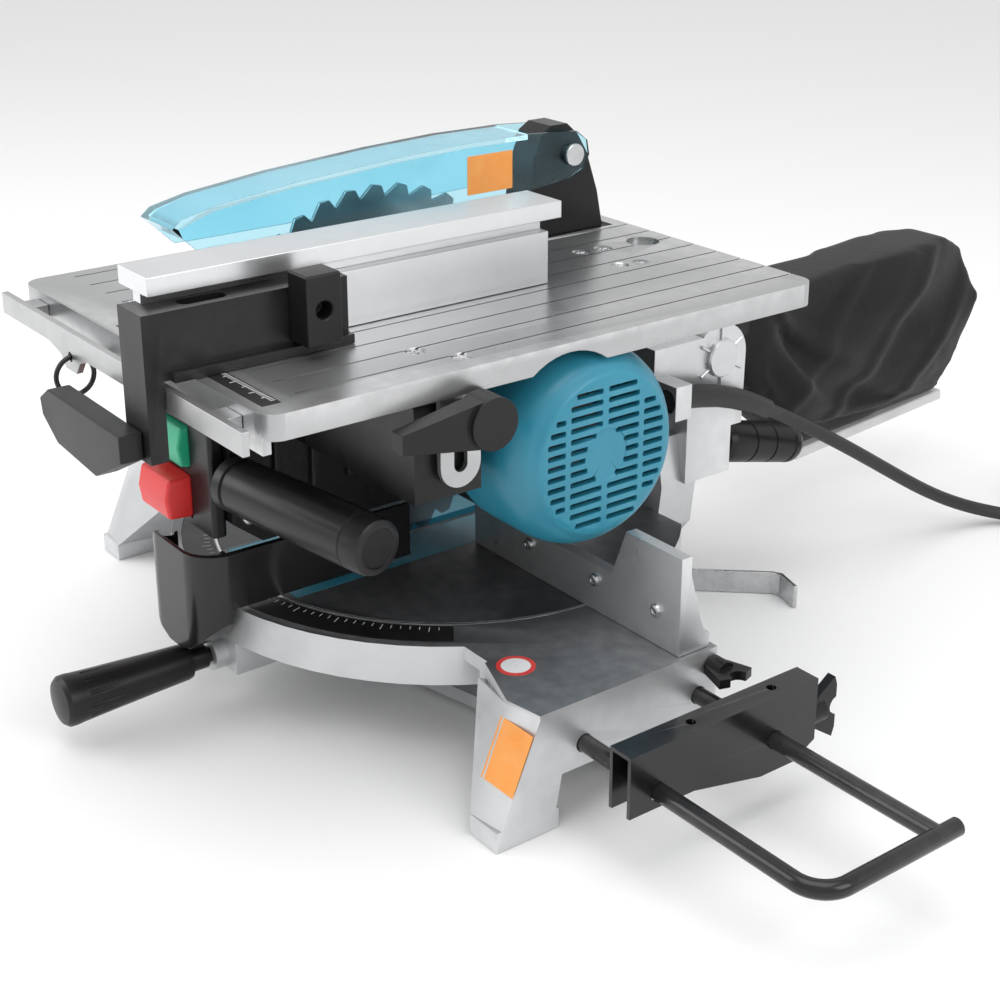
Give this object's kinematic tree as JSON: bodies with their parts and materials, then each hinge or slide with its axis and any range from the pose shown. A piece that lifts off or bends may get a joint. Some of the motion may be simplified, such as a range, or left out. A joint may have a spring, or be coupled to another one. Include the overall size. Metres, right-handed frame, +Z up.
{
  "type": "mitre saw",
  "caption": "Bench-top combination mitre saw: mitre turntable, tilting and chopping head, motor, upper saw table with rip fence and guard, side support and dust bag.",
  "frame": {"origin": "on the bench, below the centre of the bounding box of the saw without its mains lead", "axes": "+X to the user's right, where the motor is, -Y towards the user, +Z up"},
  "size_m": [0.684, 0.891, 0.341],
  "materials": {
    "casting": "painted satin cast aluminium",
    "milled": "fine milled aluminium",
    "dark_deck": "dark grey coating",
    "black_plastic": "fine moulded grain",
    "black_metal": "black powder coat",
    "steel": "zinc plated",
    "teal_plastic": "satin teal moulding",
    "clear_guard": "tinted clear moulding",
    "green_plastic": "gloss green",
    "red_plastic": "gloss red",
    "copper": "wound copper and laminations",
    "rubber": "matt rubber",
    "bag_fabric": "woven polyester",
    "white_plastic": "plain moulding"
  },
  "bodies": {
    "base": {"base_casting": "casting", "mitre_scale": "black_metal", "mitre_fence": "casting", "rear_brace": "steel", "mitre_pivot_bolt": "steel"},
    "bar": {"extension_bar": "black_metal"},
    "plate": {"support_plate": "black_metal"},
    "plate_screw": {"plate_lock_screw": "black_plastic"},
    "bar_screw": {"bar_lock_screw": "black_plastic"},
    "turntable": {"turntable": "dark_deck", "kerf_insert": "teal_plastic", "bevel_pivot_bolt": "steel", "mains_lead": "rubber", "lead_coil": "rubber", "mains_plug": "rubber"},
    "mitre_knob": {"mitre_grip": "black_plastic"},
    "arm": {"bevel_arm": "casting", "head_hinge_shaft": "steel", "strain_relief": "rubber", "dust_bag": "bag_fabric", "bag_closure": "white_plastic"},
    "bevel_knob": {"bevel_lock_grip": "black_plastic"},
    "stop_pin": {"head_stop_pin": "black_plastic"},
    "head": {"blade_case": "black_metal", "gear_housing": "black_plastic", "motor_housing": "teal_plastic", "brush_cap_top": "black_plastic", "brush_cap_bottom": "black_plastic", "motor_field": "steel", "rotor_bearing": "steel", "spindle_bearing": "steel", "lower_cover": "black_plastic", "switch_box": "black_plastic", "front_grip": "rubber", "riving_bracket": "black_metal", "guard_pivot_screw": "steel", "table_lever_washer": "steel"},
    "spindle": {"spindle": "steel", "driven_gear": "steel", "saw_blade": "steel", "inner_flange": "steel", "outer_flange": "steel", "spindle_nut": "steel"},
    "rotor": {"armature": "copper", "cooling_fan": "white_plastic"},
    "start": {"start_button": "green_plastic"},
    "stop": {"stop_button": "red_plastic"},
    "guard": {"top_guard": "clear_guard"},
    "table": {"upper_table": "milled", "fence_rule": "black_metal", "slotted_bracket": "milled", "table_guide_1": "steel", "table_guide_2": "steel", "front_rail": "milled", "rail_ring": "black_metal"},
    "table_lever": {"table_lever": "black_plastic"},
    "rip_fence": {"fence_extrusion": "milled", "fence_head": "black_plastic", "fence_clamp_block": "black_plastic"},
    "fence_lever": {"fence_lever": "black_plastic"}
  },
  "joints": [
    {"name": "mitre", "type": "hinge", "parent": "base", "child": "turntable", "pos_m": [-0.09302, -0.109, 0.0768], "axis": [0, 0, 1], "range_deg": [-45, 45]},
    {"name": "mitre_grip_turn", "type": "hinge", "parent": "turntable", "child": "mitre_knob", "pos_m": [-0.09302, -0.303, 0.0315], "axis": [0, 1, 0], "range_deg": [-180, 180]},
    {"name": "bevel", "type": "hinge", "parent": "turntable", "child": "arm", "pos_m": [-0.09302, 0.009, 0.0768], "axis": [0, 1, 0], "range_deg": [-45, 0]},
    {"name": "bevel_grip_turn", "type": "hinge", "parent": "arm", "child": "bevel_knob", "pos_m": [-0.01902, 0.0735, 0.112], "axis": [0, 0.9703, -0.2419], "range_deg": [-180, 180]},
    {"name": "stop_pin_slide", "type": "slide", "parent": "arm", "child": "stop_pin", "axis": [-1, 0, 0], "range_m": [-0.012, 0]},
    {"name": "chop", "type": "hinge", "parent": "arm", "child": "head", "pos_m": [-0.09302, 0.056, 0.183], "axis": [-1, 0, 0], "range_deg": [0, 40]},
    {"name": "spindle_spin", "type": "hinge", "parent": "head", "child": "spindle", "pos_m": [-0.09302, -0.167, 0.194], "axis": [1, 0, 0], "continuous": true},
    {"name": "rotor_spin", "type": "hinge", "parent": "head", "child": "rotor", "pos_m": [-0.09302, -0.141, 0.195], "axis": [1, 0, 0], "continuous": true},
    {"name": "start_press", "type": "slide", "parent": "head", "child": "start", "axis": [0, 1, 0], "range_m": [0, 0.004], "stiffness_N_per_m": 700},
    {"name": "stop_press", "type": "slide", "parent": "head", "child": "stop", "axis": [0, 1, 0], "range_m": [0, 0.004], "stiffness_N_per_m": 700},
    {"name": "guard_lift", "type": "hinge", "parent": "head", "child": "guard", "pos_m": [-0.09302, -0.021, 0.322], "axis": [-1, 0, 0], "range_deg": [0, 60]},
    {"name": "table_height", "type": "slide", "parent": "head", "child": "table", "axis": [0, 0, 1], "range_m": [0, 0.03]},
    {"name": "table_lever_turn", "type": "hinge", "parent": "head", "child": "table_lever", "pos_m": [0.11198, -0.233, 0.24], "axis": [1, 0, 0], "range_deg": [0, 70]},
    {"name": "rip_fence_slide", "type": "slide", "parent": "table", "child": "rip_fence", "axis": [1, 0, 0], "range_m": [-0.045, 0.045]},
    {"name": "fence_lever_turn", "type": "hinge", "parent": "rip_fence", "child": "fence_lever", "pos_m": [0.01098, -0.392, 0.231], "axis": [0, 1, 0], "range_deg": [-60, 0]},
    {"name": "bar_slide", "type": "slide", "parent": "base", "child": "bar", "axis": [1, 0, 0], "range_m": [-0.02, 0.06]},
    {"name": "plate_slide", "type": "slide", "parent": "bar", "child": "plate", "axis": [1, 0, 0], "range_m": [0, 0.09]},
    {"name": "plate_screw_turn", "type": "hinge", "parent": "plate", "child": "plate_screw", "pos_m": [0.21048, -0.069, 0.0485], "axis": [0, 1, 0], "range_deg": [-180, 180]},
    {"name": "bar_screw_turn", "type": "hinge", "parent": "base", "child": "bar_screw", "pos_m": [0.16198, -0.098, 0.066], "axis": [1, 0, 0], "range_deg": [-180, 180]}
  ],
  "couplings": [
    {"joint": "rotor_spin", "follows": "spindle_spin", "ratio": -3}
  ]
}
